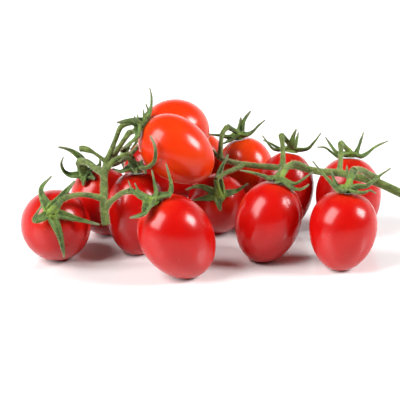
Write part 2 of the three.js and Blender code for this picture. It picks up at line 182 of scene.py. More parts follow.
FRUITS = (
    FruitPlan(
        "01", at=(-72, -4.5), lean=(-0.06, -0.8, 0.6), girth=35, length=41,
        stalk=((-47.5, -12, 35), (-54, -14, 37.5), (-61, -19, 39.5), (-67, -25, 39.5)),
        sepals=sepals(
            (3, (-5, 10, 9), (0, 13, 15)),
            (3, (-8, -8, -1), (-3, -9.5, 8.5)),
            (3, (4, -4, -8), (6, 3, -24)),
            (2.8, (12, 0.5, -3), (24, -1, -5.5)),
            (3.8, (7, 4, 9), (12, 6, 15)),
        ),
    ),
    FruitPlan(
        "02", at=(-49.5, 31.5), lean=(-0.45, -0.39, 0.8), girth=33, length=39, stout=1.3,
        stalk=((-47.5, -1, 44.5), (-52.5, 7, 44.5), (-57, 16, 44.5), (-61.5, 22, 42.5)),
        sepals=sepals(
            (3.8, (-1.5, 3, 4.5), (-2, 4, 8.5), (-5.5, 4, 12), (-9.5, 4, 14), (-14, 4, 15)),
            (3.2, (-4.5, -1, 0.5), (-8.5, -1, 1), (-11.5, -1, 3.5), (-12.5, -2, 8), (-11, -3, 12)),
            (4, (-0.5, -4, 0), (-1, -5, -3)),
            (4, (3, -3, 1), (5, -4, -0.5)),
            (2.6, (6.5, 5.5, 3), (7, 8.5, 8.5)),
        ),
    ),
    FruitPlan(
        "03", at=(-32, 5), lean=(0, 0.1, 1), girth=30, length=43, taper=0.05, stout=1.05,
        stalk=(
            (-47.5, -2, 46), (-45, -1, 48.5), (-42.5, 0, 51),
            (-39, 1, 52.5), (-36.5, 2, 53), (-34, 3, 51),
        ),
        sepals=sepals(
            (3, (3, -5, 3), (7, -11, 6), (10, -16.5, 12), (10, -17, 19), (7.5, -13, 23.5)),
            (4.4, (-2.5, -7, 7.5), (-5, -9, 10), (-8, -9, 8)),
            (5.6, (-4, -6, 2.5), (-7.5, -8, 2.5), (-11.5, -7, 4)),
            (4.8, (1.5, -4, 6), (3.5, -6, 4.5), (5, -9, 2)),
            (4.4, (-0.5, -7, 3.5), (0.5, -10, 2)),
        ),
    ),
    FruitPlan(
        "04", at=(-11, -29), lean=(-0.49, -0.18, 0.85), girth=36, length=45.5, taper=0.07,
        stalk=(
            (-47, -13, 30), (-44.5, -15, 34), (-41, -19, 38.5),
            (-37.5, -24, 42.5), (-33.5, -28, 45),
        ),
        sepals=sepals(
            (2.2, (1.5, 1, 5), (0.5, 2, 9.5), (-1, 4, 15.5)),
            (3, (4.5, 0, 2.5), (7.5, 0, 3.5), (9, 1, 7), (8, 2, 12), (6, 3, 19)),
            (4.8, (-2.5, -6, -1), (-4, -8, -3), (-7.5, -9, -4), (-11.5, -9, -4.5)),
            (1.6, (-4.5, 3, 2.5), (-7.5, 4, 5), (-9.5, 5, 8.5)),
            (1.6, (-7, 1, 2.5), (-10.5, 3, 5.5), (-12.5, 4, 10)),
        ),
    ),
    FruitPlan(
        "05", at=(-21.5, 58, 24.3), lean=(-0.84, 0.1, 0.52), girth=30.5, length=40,
        stalk=((-42, 17, 44.5), (-43.5, 30, 44), (-43.5, 42, 42.5), (-42.5, 50, 40.5)),
        sepals=sepals(
            (2.6, (2, -1, -1), (5, 0, 2)),
            (2.6, (-2, -3, -1.5), (-3, -4, -4)),
            (2.6, (-2.5, 3, 1), (-4, 4, 2)),
            (2.8, (3, 5, -4), (7, 7, -7)),
            (2.8, (1, -4, -4), (6, -5, -8)),
        ),
    ),
    FruitPlan(
        "06", at=(-11.5, 6.6, 54.2), lean=(-0.8, 0.16, 0.56), girth=31.5, length=41, taper=0.08,
        ripeness=Ripeness.ORANGE,
        stalk=((-46.5, 4, 49), (-42, 8, 59.5), (-39.5, 9.5, 65.2), (-36.5, 10, 67.2)),
        sepals=sepals(
            (3, (3, 4, 4), (4, 6, 8.5), (4, 8, 13), (3, 9, 17)),
            (2.8, (1, -3, 3.5), (0.5, -3, 6.5), (0, -3, 9.5)),
            (2, (-1, -5, 2.5), (-2.5, -7, 4.5), (-4.5, -8, 7.5)),
            (4, (-2.5, -4, 2.5), (-6, -6, 4), (-9.5, -8, 4.5), (-13, -9, 4.5)),
            (3.8, (-1, -7, -2), (-3, -9, -4), (-7, -12, -6), (-11, -13, -8.5)),
        ),
    ),
    FruitPlan(
        "07", at=(-12.7, 44, 52), lean=(-0.91, -0.37, 0.15), girth=33, length=35.5,
        ripeness=Ripeness.ORANGE,
        stalk=((-46, 4, 49), (-43, 9, 50.5), (-40, 16, 53.5), (-36, 24, 57.5)),
        sepals=sepals(
            (2.8, (3, -3, 10), (2.5, -4, 12.5), (1.5, -5, 15.5)),
            (2.8, (4, 2.5, 7.5), (4, 6.5, 10)),
            (3, (-2.5, 9, 1.5), (-3.5, 15, 3.5)),
            (3, (-1.5, 3, -5), (-4.5, 2, -7)),
            (3, (-2.5, -7, -3.5), (-6.5, -10, -7.5)),
        ),
    ),
    FruitPlan(
        "08", at=(25.5, 70), lean=(-0.22, 0.12, 0.97), girth=29.5, length=40, taper=0.1,
        ripeness=Ripeness.ORANGE,
        stalk=((10.5, 53, 34), (11, 57, 41.5), (12, 61, 45.5), (14.5, 65, 47.5)),
        sepals=sepals(
            (3.6, (-3.5, -1, 0), (-7.5, -1, 0.5), (-11, -1, 1.5), (-17, -1, 2.5)),
            (3.6, (-0.5, 1, 3), (0, 1.5, 7), (0.5, 2, 11)),
            (3.2, (1.5, 4, 2.5), (2.5, 5.5, 7.5), (6, 7, 13)),
            (3.2, (4, -1, 1.5), (7, -1, 3.5), (9.5, -1, 6.5), (13.5, -1, 10.5)),
            (3.6, (-6.5, -4, -1), (-9.5, -4.5, -2)),
        ),
    ),
    FruitPlan(
        "09", at=(-0.5, 88), lean=(0.05, 0.04, 1), girth=30, length=37,
        ripeness=Ripeness.ORANGE,
        stalk=((-8, 66, 39), (-10, 71, 43.5), (-6, 80, 46)),
        sepals=sepals(
            (2.8, (-5, 0, 1), (-10, 1, 3)),
            (2.8, (-2, -5, 1), (-4, -10, 0)),
            (2.8, (1.5, -5, 0), (2, -9, -3)),
            (2.8, (2, 5, 1), (2, 9, 3)),
            (2.8, (-2, 5, 1), (-5, 9, 4)),
        ),
    ),
    FruitPlan(
        "10", at=(9, 32.5), lean=(0.05, -0.86, 0.51), girth=31, length=40, stout=0.85,
        stalk=((22.5, 33, 37.5), (19.5, 28, 37.5), (11.5, 19, 37), (8, 12, 36.5)),
        sepals=sepals(
            (3.2, (-0.5, 8, 7), (1, 12, 11), (3, 15, 14), (4.5, 17, 16.5)),
            (2.4, (-10, 0.5, 5), (-17.5, -2, 4)),
            (2.6, (-7.5, -0.5, -1), (-13.5, 5, -4)),
            (3.2, (-0.5, -3, -3), (0.5, -3, -7)),
            (2.2, (8.5, 3.5, 1.5), (14.5, 2, 6)),
        ),
    ),
    FruitPlan(
        "11", at=(34, -5), lean=(0.27, 0.11, 0.95), girth=32.5, length=42, taper=0.06,
        stalk=((53.5, 15, 41.5), (50, 13, 44.5), (46.5, 10, 46), (44, 6, 45.5), (42, 3, 44)),
        sepals=sepals(
            (2.8, (-4, -2, 1), (-9, -3, 4), (-14.5, -3, 6), (-20, -2, 7)),
            (3.2, (-1.5, -3, 1.5), (-1.5, -4, 5), (0.5, -3, 9)),
            (3.2, (4, -4, -1.5), (7, -4, -2.5), (10.5, -4, -2.5), (14.5, -3, 0)),
            (3, (4.5, 1, -1), (7.5, 1, -1.5), (11.5, 1, 1), (16.5, 2, 5)),
            (3, (-1.5, -4, 0.5), (-3, -5, 0)),
        ),
    ),
    FruitPlan(
        "12", at=(44, 41), lean=(0.16, 0.27, 0.95), girth=30, length=41.5, taper=0.06,
        stalk=((42, 22, 39.5), (42.5, 33, 45.5), (42, 43.5, 50)),
        sepals=sepals(
            (2.4, (-5.5, 0, 0.5), (-9.5, 0, 1.5), (-12.5, 1, 5), (-15, 2, 8.5)),
            (2.6, (-5, 3, 0), (-8, 4, 1.5), (-11.5, 5, 3.5), (-14.5, 6, 4.5)),
            (3, (0, -3, 5), (1, -3, 10), (2.5, -3, 13.5)),
            (2.4, (2.5, 3, 2.5), (3.5, 5, 6), (4, 6, 9)),
            (2.8, (4.5, 0, 0.5), (9, 0, 1.5), (12, 0, 5), (15.5, 0, 10.5)),
        ),
    ),
    FruitPlan(
        "13", at=(70.5, -16.5), lean=(0.1, 0.08, 0.99), girth=33.6, length=40.6,
        taper=0.11, stout=1.25,
        stalk=((89, 8.5, 38), (85, 5, 41.5), (81.5, 1, 45), (78, -4, 47.5), (75.5, -9, 48.5)),
        sepals=sepals(
            (3.4, (-5, -5, 1.5), (-9.5, -3, 6), (-14, -0.5, 11), (-17.5, 2, 15)),
            (2.8, (-4.5, 2, 1), (-6.5, 5, 3.5), (-8, 7, 8.5)),
            (2.4, (1, 6, 2.5), (0.5, 8, 5.5), (0, 10, 10)),
            (3.4, (5.5, -4, 3), (9, -4, 3.5), (12, -3, 5.5), (16, -1, 8.5), (21, 1, 11.5)),
            (2.8, (4, -6, 1), (7.5, -6, 1), (10.5, -5, 2), (13.5, -5, 0.5)),
        ),
    ),
    FruitPlan(
        "14", at=(76.7, 33), lean=(0.02, 0.26, 0.97), girth=33.8, length=41, taper=0.04,
        stalk=((70, 11, 40.5), (71.5, 22, 44.5), (72, 32, 49.5)),
        sepals=sepals(
            (3, (-4.5, -1, 0), (-8, 1, 3), (-10.5, 3, 6.5), (-12.5, 3, 10)),
            (2.6, (-6, -4, 1), (-10, -4, 4), (-13, -3, 6), (-17, -2, 6)),
            (3.4, (3.5, 1, 0.5), (5.5, 3, 5), (6.5, 4, 8.5), (7.5, 5, 12)),
            (3, (5.5, -3, 0.5), (9, -2, 2), (13, 0, 5), (20, 1, 8.5)),
            (2.8, (0, 5, 1.5), (0.5, 9, 0)),
        ),
    ),
)


# ---- geometry ---------------------------------------------------------------


def unit(vector: np.ndarray) -> np.ndarray:
    """The vector at length 1."""
    return vector / np.linalg.norm(vector)


def each_unit(rows: np.ndarray) -> np.ndarray:
    """The vectors, one a row, each at length 1."""
    return rows / np.linalg.norm(rows, axis=1)[:, None]


def in_row(places: Sequence) -> np.ndarray:
    """A layout point, or several, in millimetres as points of the row frame in metres."""
    return (np.array(places, float) - ORIGIN) * MM


def tapered(taper: float, height: np.ndarray) -> np.ndarray:
    """How wide a tapered fruit is at heights of -1 to 1 along its axis, against an even one."""
    return (1 + taper * height) / (1 + taper**2 / 2)


def oval_level(across: np.ndarray, upright: np.ndarray) -> np.ndarray:
    """How far out a place lies in a fruit's full oval: 0 in the middle, 1 on the skin."""
    return (across**FULLNESS + upright**FULLNESS) ** (1 / FULLNESS)


def smooth_step(low: float, high: float, value: np.ndarray) -> np.ndarray:
    """0 below low, 1 above high, and an even curve between them."""
    share = np.clip((value - low) / (high - low), 0, 1)
    return share * share * (3 - 2 * share)


def curve_through(points: np.ndarray, steps: int) -> np.ndarray:
    """A smooth centripetal curve through points, as evenly spaced places.

    Args:
        points: the points, one a row.
        steps: how many equal stretches to cut the curve into.

    Returns:
        steps + 1 places along the curve, one a row.
    """
    before = 2 * points[0] - points[1]
    after = 2 * points[-1] - points[-2]
    held = np.vstack([before, points, after])
    dense = []
    for i in range(len(points) - 1):
        a, b, c, d = held[i : i + 4]
        chords = [np.linalg.norm(q - p) for p, q in ((a, b), (b, c), (c, d))]
        k0, k1, k2, k3 = np.cumsum([0.0, *(chord**0.5 for chord in chords)])
        t = np.linspace(k1, k2, CURVE_DETAIL)[:, None]
        ab = (k1 - t) / (k1 - k0) * a + (t - k0) / (k1 - k0) * b
        bc = (k2 - t) / (k2 - k1) * b + (t - k1) / (k2 - k1) * c
        cd = (k3 - t) / (k3 - k2) * c + (t - k2) / (k3 - k2) * d
        abc = (k2 - t) / (k2 - k0) * ab + (t - k0) / (k2 - k0) * bc
        bcd = (k3 - t) / (k3 - k1) * bc + (t - k1) / (k3 - k1) * cd
        dense.append((k2 - t) / (k2 - k1) * abc + (t - k1) / (k2 - k1) * bcd)
    line = np.vstack(dense)
    run = np.concatenate([[0], np.cumsum(np.linalg.norm(np.diff(line, axis=0), axis=1))])
    stations = np.linspace(0, run[-1], steps + 1)
    return np.column_stack([np.interp(stations, run, line[:, k]) for k in range(3)])


def length_of(row: np.ndarray) -> float:
    """Length of a row of points."""
    return float(np.linalg.norm(np.diff(row, axis=0), axis=1).sum())


def along(stations: Sequence[float], share: np.ndarray) -> np.ndarray:
    """Values at shares 0 to 1 of a list of stations that are spread evenly."""
    return np.interp(share, np.linspace(0, 1, len(stations)), stations)


def others_than(plan: FruitPlan) -> list[FruitPlan]:
    """Every fruit but this one."""
    return [other for other in FRUITS if other is not plan]


def clear_of(plans: Iterable[FruitPlan], gap: float, row: np.ndarray) -> np.ndarray:
    """Moves points out of the fruits.

    Args:
        plans: the fruits to keep out of.
        gap: metres to keep from their skins.
        row: the points, one a row.

    Returns:
        The points, with those inside a fruit moved to gap from its skin.
    """
    moved = row.copy()
    for plan in plans:
        offset = moved - plan.centre
        high = offset @ plan.axis
        wide = np.sqrt(np.maximum((offset**2).sum(1) - high**2, 0))
        wide /= tapered(plan.taper, np.clip(high / plan.half, -1, 1))
        level = oval_level(wide / (plan.radius + gap), np.abs(high) / (plan.half + gap))
        inside = level < 1
        moved[inside] = plan.centre + offset[inside] / level[inside, None]
    return moved


def frames_along(row: np.ndarray, up: np.ndarray) -> tuple[np.ndarray, np.ndarray]:
    """Two directions square to a row of points, carried along it without twist.

    Args:
        row: the points, one a row.
        up: the first direction, before it is made square to the row.

    Returns:
        The upward directions and the sideways directions, one a row.
    """
    ahead = np.gradient(row, axis=0)
    ups, sides = [], []
    for step in ahead:
        step = unit(step)
        up = unit(up - step * (up @ step))
        ups.append(up)
        sides.append(np.cross(step, up))
    return np.array(ups), np.array(sides)


# ---- Blender helpers --------------------------------------------------------


def select_only(*pieces: Piece) -> None:
    """Selects these objects alone, the first one active.

    Args:
        pieces: the objects.
    """
    bpy.ops.object.select_all(action="DESELECT")
    for piece in pieces:
        piece.select_set(True)
    bpy.context.view_layer.objects.active = pieces[0]


def added(name: str) -> Piece:
    """Names the object that an operator has just added.

    Args:
        name: name for the object and its data.

    Returns:
        The object.
    """
    piece = bpy.context.object
    piece.name = name
    piece.data.name = name
    return piece


def places_of(piece: Piece) -> np.ndarray:
    """Reads a piece's vertices.

    Args:
        piece: the piece.

    Returns:
        Their places, one a row.
    """
    flat = np.empty(len(piece.data.vertices) * 3, np.float32)
    piece.data.vertices.foreach_get("co", flat)
    return flat.reshape(-1, 3).astype(float)


def put_places(piece: Piece, places: np.ndarray) -> None:
    """Moves the piece's vertices to these places."""
    piece.data.vertices.foreach_set("co", places.astype(np.float32).ravel())
    piece.data.update()


def face_values(piece: Piece, name: str, width: int) -> np.ndarray:
    """Reads one property of a piece's faces.

    Args:
        piece: the piece.
        name: the property.
        width: how many numbers it has.

    Returns:
        Its numbers, one face a row.
    """
    flat = np.empty(len(piece.data.polygons) * width)
    piece.data.polygons.foreach_get(name, flat)
    return flat.reshape(-1, width)


def apply_modifier(piece: Piece, kind: str, **settings: object) -> None:
    """Adds a modifier and applies it.

    Args:
        piece: the piece that gets it.
        kind: its type.
        settings: its own properties.
    """
    select_only(piece)
    modifier = piece.modifiers.new(kind.title(), kind)
    for key, value in settings.items():
        setattr(modifier, key, value)
    bpy.ops.object.modifier_apply(modifier=modifier.name)


def apply_place(piece: Piece) -> None:
    """Moves the object's own place, turn and scale into its mesh."""
    select_only(piece)
    bpy.ops.object.transform_apply(location=True, rotation=True, scale=True)


def joined(name: str, parts: Sequence[Piece]) -> Piece:
    """Joins objects.

    Args:
        name: name for the object that they become.
        parts: the objects, the first one kept.

    Returns:
        The one object.
    """
    select_only(*parts)
    bpy.ops.object.join()
    return added(name)


def paint(piece: Piece, name: str, values: np.ndarray) -> None:
    """Stores one number for each vertex, for a material to read."""
    layer = piece.data.attributes.new(name, "FLOAT", "POINT")
    layer.data.foreach_set("value", values.astype(np.float32))


def smooth_shaded(piece: Piece) -> None:
    """Shades the piece without facets."""
    select_only(piece)
    bpy.ops.object.shade_smooth()


def grown_together(piece: Piece, grain: float, rounds: int) -> None:
    """Blends overlapping parts into one skin, as living tissue grows.

    Args:
        piece: the object whose parts overlap.
        grain: size of the skin's faces, in millimetres.
        rounds: how often the skin is smoothed.
    """
    apply_modifier(piece, "REMESH", mode="VOXEL", voxel_size=grain * MM)
    apply_modifier(piece, "SMOOTH", factor=0.5, iterations=rounds)
    smooth_shaded(piece)


def tube(name: str, row: np.ndarray, radii: Sequence[float]) -> Piece:
    """A round stem along a row of points.

    Args:
        name: name of the new object.
        row: the points, evenly spaced, one a row.
        radii: radii in millimetres, spread evenly along the row.

    Returns:
        The stem as a mesh with closed ends.
    """
    bpy.ops.curve.primitive_bezier_curve_add()
    piece = added(name)
    piece.location = (0, 0, 0)
    shape = piece.data
    shape.dimensions = "3D"
    shape.bevel_depth = MM
    shape.bevel_resolution = TUBE_DETAIL
    shape.resolution_u = TUBE_DETAIL
    shape.use_fill_caps = True
    spline = shape.splines[0]
    spline.bezier_points.add(len(row) - len(spline.bezier_points))
    widths = along(radii, np.linspace(0, 1, len(row)))
    for knot, place, width in zip(spline.bezier_points, row, widths):
        knot.co = place
        knot.handle_left_type = knot.handle_right_type = "AUTO"
        knot.radius = width
    select_only(piece)
    bpy.ops.object.convert(target="MESH")
    return bpy.context.object


# ---- finishes ---------------------------------------------------------------


def linear(hex_colour: str) -> tuple[float, float, float, float]:
    """Turns an sRGB hex colour to linear.

    Args:
        hex_colour: the colour, such as #A60805.

    Returns:
        Linear red, green and blue, and full alpha.
    """
    parts = [int(hex_colour[i : i + 2], 16) / 255 for i in (1, 3, 5)]
    red, green, blue = (c / 12.92 if c <= 0.04045 else ((c + 0.055) / 1.055) ** 2.4 for c in parts)
    return red, green, blue, 1.0


def per_metre(cell: float) -> float:
    """Texture scale at which one cell measures this many millimetres."""
    return 1 / MM / cell


def feed(tree: Tree, node: bpy.types.Node, inputs: dict[str | int, object]) -> None:
    """Sets a node's inputs.

    Args:
        tree: the node tree.
        node: the node.
        inputs: for each input socket, a value or the output socket that feeds it.
    """
    for key, value in inputs.items():
        if isinstance(value, Socket):
            tree.links.new(value, node.inputs[key])
        else:
            node.inputs[key].default_value = value


def add_node(
    tree: Tree,
    kind: str,
    output: str | int,
    inputs: dict[str | int, object] | None = None,
    **settings: object,
) -> Socket:
    """Adds a shader node.

    Args:
        tree: the node tree.
        kind: the node's type name without its Shader prefix.
        output: the output that is wanted.
        inputs: for each input socket, a value or the output socket that feeds it.
        settings: the node's own properties.

    Returns:
        That output's socket.
    """
    node = tree.nodes.new("ShaderNode" + kind)
    for key, value in settings.items():
        setattr(node, key, value)
    feed(tree, node, inputs or {})
    return node.outputs[output]


def new_material(name: str) -> tuple[Finish, Tree, bpy.types.Node]:
    """Adds a material.

    Args:
        name: its name.

    Returns:
        The material, its tree, and its main shader, wired to the output.
    """
    material = bpy.data.materials.new(name)
    material.use_nodes = True
    tree = material.node_tree
    return material, tree, tree.nodes["Principled BSDF"]


@dataclass(frozen=True)
class Layer:
    """A colour that covers those below it more and more as a value goes from low to high."""

    colour: str
    value: Socket
    low: float
    high: float
    top: float = 1.0  # how much of those below it covers at high


def layered(tree: Tree, base: str, *layers: Layer) -> Socket:
    """Lays colours over a base colour.

    Args:
        tree: the node tree.
        base: the base colour.
        layers: the colours over it, the lowest first.

    Returns:
        The colour that shows.
    """
    colour = linear(base)
    for layer in layers:
        span = {"Value": layer.value, "From Min": layer.low, "From Max": layer.high}
        span["To Max"] = layer.top
        share = add_node(tree, "MapRange", "Result", span, interpolation_type="SMOOTHSTEP")
        both = {0: share, 6: colour, 7: linear(layer.colour)}
        colour = add_node(tree, "Mix", 2, both, data_type="RGBA")
    return colour


@dataclass(frozen=True)
class TomatoSkin:
    """Ripe tomato skin: a clear waxy film over wet red flesh, so it is glossy and glows within."""

    name: str
    flesh: str
    patch: str
    shoulder: str
    freckle: str = "#F08A5E"
    scar: str = "#6E4A2A"
    patch_size: float = 14  # mm
    freckle_space: float = 3.2  # mm from one freckle to the next
    freckle_size: float = 0.1  # share of that space, for the largest: drawn coarse to show
    grain_size: float = 1.1  # mm: drawn coarse, as the skin's own cells are too fine to show
    grain_depth: float = 0.2  # mm
    shoulder_foot: float = 0.86  # share of the fruit's height
    scar_rim: float = 0.0022  # share of the fruit's height
    scar_middle: float = 0.0008  # share of the fruit's height

    def material(self) -> Finish:
        """Makes the skin with patches, a lighter shoulder, pale freckles and the blossom scar.

        Returns:
            The material.
        """
        material, tree, skin = new_material(self.name)
        place = add_node(tree, "TexCoord", "Object")
        height = add_node(tree, "Attribute", "Fac", attribute_name="along")
        spread = {"Vector": place, "Scale": per_metre(self.patch_size)}
        patches = add_node(tree, "TexNoise", "Fac", spread)
        spread = {"Vector": place, "Scale": per_metre(self.freckle_space)}
        away = add_node(tree, "TexVoronoi", "Distance", spread)
        # Each freckle has a size of its own, from the random colour of its cell.
        sizes = {0: away.node.outputs["Color"], 1: self.freckle_size}
        size = add_node(tree, "Math", "Value", sizes, operation="MULTIPLY")
        inside = add_node(tree, "Math", "Value", {0: size, 1: away}, operation="SUBTRACT")
        colour = layered(
            tree,
            self.flesh,
            Layer(self.patch, patches, low=0.4, high=0.75),
            Layer(self.shoulder, height, low=self.shoulder_foot, high=1.0, top=0.55),
            Layer(self.freckle, inside, low=-0.02, high=0.04, top=0.4),
            Layer(self.scar, height, low=self.scar_rim, high=self.scar_middle),
        )
        spread = {"Vector": place, "Scale": per_metre(self.grain_size), "Detail": 3.0}
        grain = add_node(tree, "TexNoise", "Fac", spread)
        rough = {"Height": grain, "Strength": 0.06, "Distance": self.grain_depth * MM}
        look = {
            "Base Color": colour,
            "Normal": add_node(tree, "Bump", "Normal", rough),
            "Roughness": 0.22,
            "IOR": 1.37,
            "Subsurface Weight": 0.4,
            "Subsurface Radius": (1.0, 0.15, 0.08),
            "Subsurface Scale": 5 * MM,
        }
        feed(tree, skin, look)
        return material


@dataclass(frozen=True)
class GreenTissue:
    """Living stem or sepal: soft green tissue under a downy skin, dull, with painted shade and
    painted highlight streaks scattered at random over it.
    """

    name: str
    fresh: str
    # pale is a painted highlight tone of the green, and shade is a painted shade tone.
    pale: str
    shade: str
    tip: str
    heart: str
    down: str = "#E6EFD0"
    # Sizes of the random patches of painted shade and of the painted highlight streaks.
    shade_mottle_size: float = 4  # mm
    highlight_streak_size: float = 1.3  # mm
    grain_size: float = 0.7  # mm: drawn coarse, as real cells are too fine to show
    grain_depth: float = 0.25  # mm

    def material(self) -> Finish:
        """Makes the tissue with painted shade and painted highlight streaks at random, dry at the
        sepals' tips and yellower at their feet.

        Returns:
            The material.
        """
        material, tree, skin = new_material(self.name)
        place = add_node(tree, "TexCoord", "Object")
        age = add_node(tree, "Attribute", "Fac", attribute_name="age")
        # Painted shade: the dark shade tone shows where this noise is low.
        spread = {"Vector": place, "Scale": per_metre(self.shade_mottle_size), "Detail": 3.0}
        shade_mottle = add_node(tree, "TexNoise", "Fac", spread)
        # Painted highlight: the pale tone shows in streaks where this noise is high.
        spread = {"Vector": place, "Scale": per_metre(self.highlight_streak_size), "Detail": 4.0}
        highlight_streaks = add_node(tree, "TexNoise", "Fac", spread)
        colour = layered(
            tree,
            self.shade,
            Layer(self.fresh, shade_mottle, low=0.35, high=0.65),
            Layer(self.pale, highlight_streaks, low=0.5, high=0.75, top=0.6),
            Layer(self.tip, age, low=0.65, high=1.0, top=0.85),
            Layer(self.heart, age, low=0.2, high=0.02, top=0.55),
        )
        spread = {"Vector": place, "Scale": per_metre(self.grain_size), "Detail": 3.0}
        grain = add_node(tree, "TexNoise", "Fac", spread)
        rough = {"Height": grain, "Strength": 0.5, "Distance": self.grain_depth * MM}
        look = {
            "Base Color": colour,
            "Normal": add_node(tree, "Bump", "Normal", rough),
            "Roughness": 0.62,
            "Specular IOR Level": 0.25,
            "Subsurface Weight": 0.15,
            "Subsurface Radius": (0.6, 1.0, 0.3),
            "Subsurface Scale": 0.8 * MM,
            "Sheen Weight": 0.2,
            "Sheen Roughness": 0.5,
            "Sheen Tint": linear(self.down),
        }
        feed(tree, skin, look)
        return material


@dataclass(frozen=True)
class StemHair:
    """Dry pale hairs, each too fine to show a pattern, so only their colour drifts a little."""

    name: str = "stem_hair"
    colour: str = "#C6D09C"
    roughness: float = 0.6
    cloud_size: float = 30  # mm

    def material(self) -> Finish:
        """Makes the hairs' finish.

        Returns:
            The material.
        """
        material, tree, hair = new_material(self.name)
        place = add_node(tree, "TexCoord", "Object")
        spread = {"Vector": place, "Scale": per_metre(self.cloud_size)}
        clouds = add_node(tree, "TexNoise", "Fac", spread)
        colour = layered(tree, self.colour, Layer(WHITE, clouds, low=0.3, high=0.7, top=0.06))
        feed(tree, hair, {"Base Color": colour, "Roughness": self.roughness})
        return material


@dataclass(frozen=True)
class WhiteAcrylic:
    """Polished white acrylic sheet: bright and even, and it mirrors the fruits at low angles."""

    name: str = "white_acrylic"
    colour: str = "#E8E8E8"
    roughness: float = 0.16
    unevenness: float = 0.06  # of the roughness
    cloud_size: float = 60  # mm

    def material(self) -> Finish:
        """Makes the sheet, its polish a little uneven.

        Returns:
            The material.
        """
        material, tree, sheet = new_material(self.name)
        place = add_node(tree, "TexCoord", "Object")
        spread = {"Vector": place, "Scale": per_metre(self.cloud_size)}
        clouds = add_node(tree, "TexNoise", "Fac", spread)
        sums = {0: clouds, 1: self.unevenness, 2: self.roughness}
        polish = add_node(tree, "Math", "Value", sums, operation="MULTIPLY_ADD")
        look = {"Base Color": linear(self.colour), "Roughness": polish, "IOR": 1.75}
        feed(tree, sheet, look)
        return material


class Finishes:
    """Every finish of the truss, made once."""

    def __init__(self) -> None:
        """Makes the materials."""
        self.red = TomatoSkin(
            "tomato_skin_red", flesh="#A60805", patch="#AC0E07", shoulder="#B2260E"
        ).material()
        self.orange = TomatoSkin(
            "tomato_skin_orange_red", flesh="#C02A07", patch="#C2340A", shoulder="#C44410"
        ).material()
        self.stem = GreenTissue(
            "green_stem",
            # pale is a painted highlight and shade is painted shade, both scattered at random.
            fresh="#566628", pale="#828C50", shade="#384614", tip="#665A3A", heart="#728236",
        ).material()
        self.sepal = GreenTissue(
            "green_sepal",
            # pale is a painted highlight and shade is painted shade, both scattered at random.
            fresh="#50682A", pale="#7C8A48", shade="#304418", tip="#6A6C50", heart="#7A922C",
        ).material()
        self.hair = StemHair().material()
        self.floor = WhiteAcrylic().material()

    def skin(self, ripeness: Ripeness) -> Finish:
        """The skin of a fruit this ripe."""
        return self.red if ripeness is Ripeness.RED else self.orange


# ---- pieces -----------------------------------------------------------------


@dataclass(frozen=True)
class Stalk:
    """A fruit's stalk, which snaps at the knuckle between the vine and the calyx."""

    plan: FruitPlan
    rise: float = 2.4  # mm above the fruit, where the stalk has bent into the fruit's axis
    rooted: float = 0.8  # mm into the calyx disc
    knuckle: float = 1.6  # mm, its radius
    crack: float = GAP / 6  # mm that each half stands back from the knuckle's middle
    step: float = 1.2  # mm between the points of the round stem
    fewest: int = 4  # steps of the shortest stem
    trial: int = 40  # steps to measure a route with

    def halves(self) -> tuple[np.ndarray, np.ndarray]:
        """Routes the stalk clear of the other fruits.

        Returns:
            The points from the vine to the knuckle, and from the knuckle to the disc.
        """
        end, axis = self.plan.end, self.plan.axis
        around = (self.plan.stout * self.knuckle + GAP) * MM
        lower = clear_of(others_than(self.plan), around, in_row(self.plan.stalk))
        arrival = end + axis * self.rise * MM
        across = unit(unit(lower[-1] - lower[-2]) + unit(arrival - lower[-1]))
        crack = across * self.crack * MM
        upper = np.array([lower[-1] + crack, arrival, end + axis * self.rooted * MM])
        lower[-1] -= crack
        return self.spaced(lower), self.spaced(upper)

    def spaced(self, route: np.ndarray) -> np.ndarray:
        """Smooths a route.

        Args:
            route: the points that it passes, one a row.

        Returns:
            The route as close, even points, one a row.
        """
        rough = curve_through(route, self.trial)
        steps = round(length_of(rough) / (self.step * MM))
        return curve_through(route, max(self.fewest, steps))


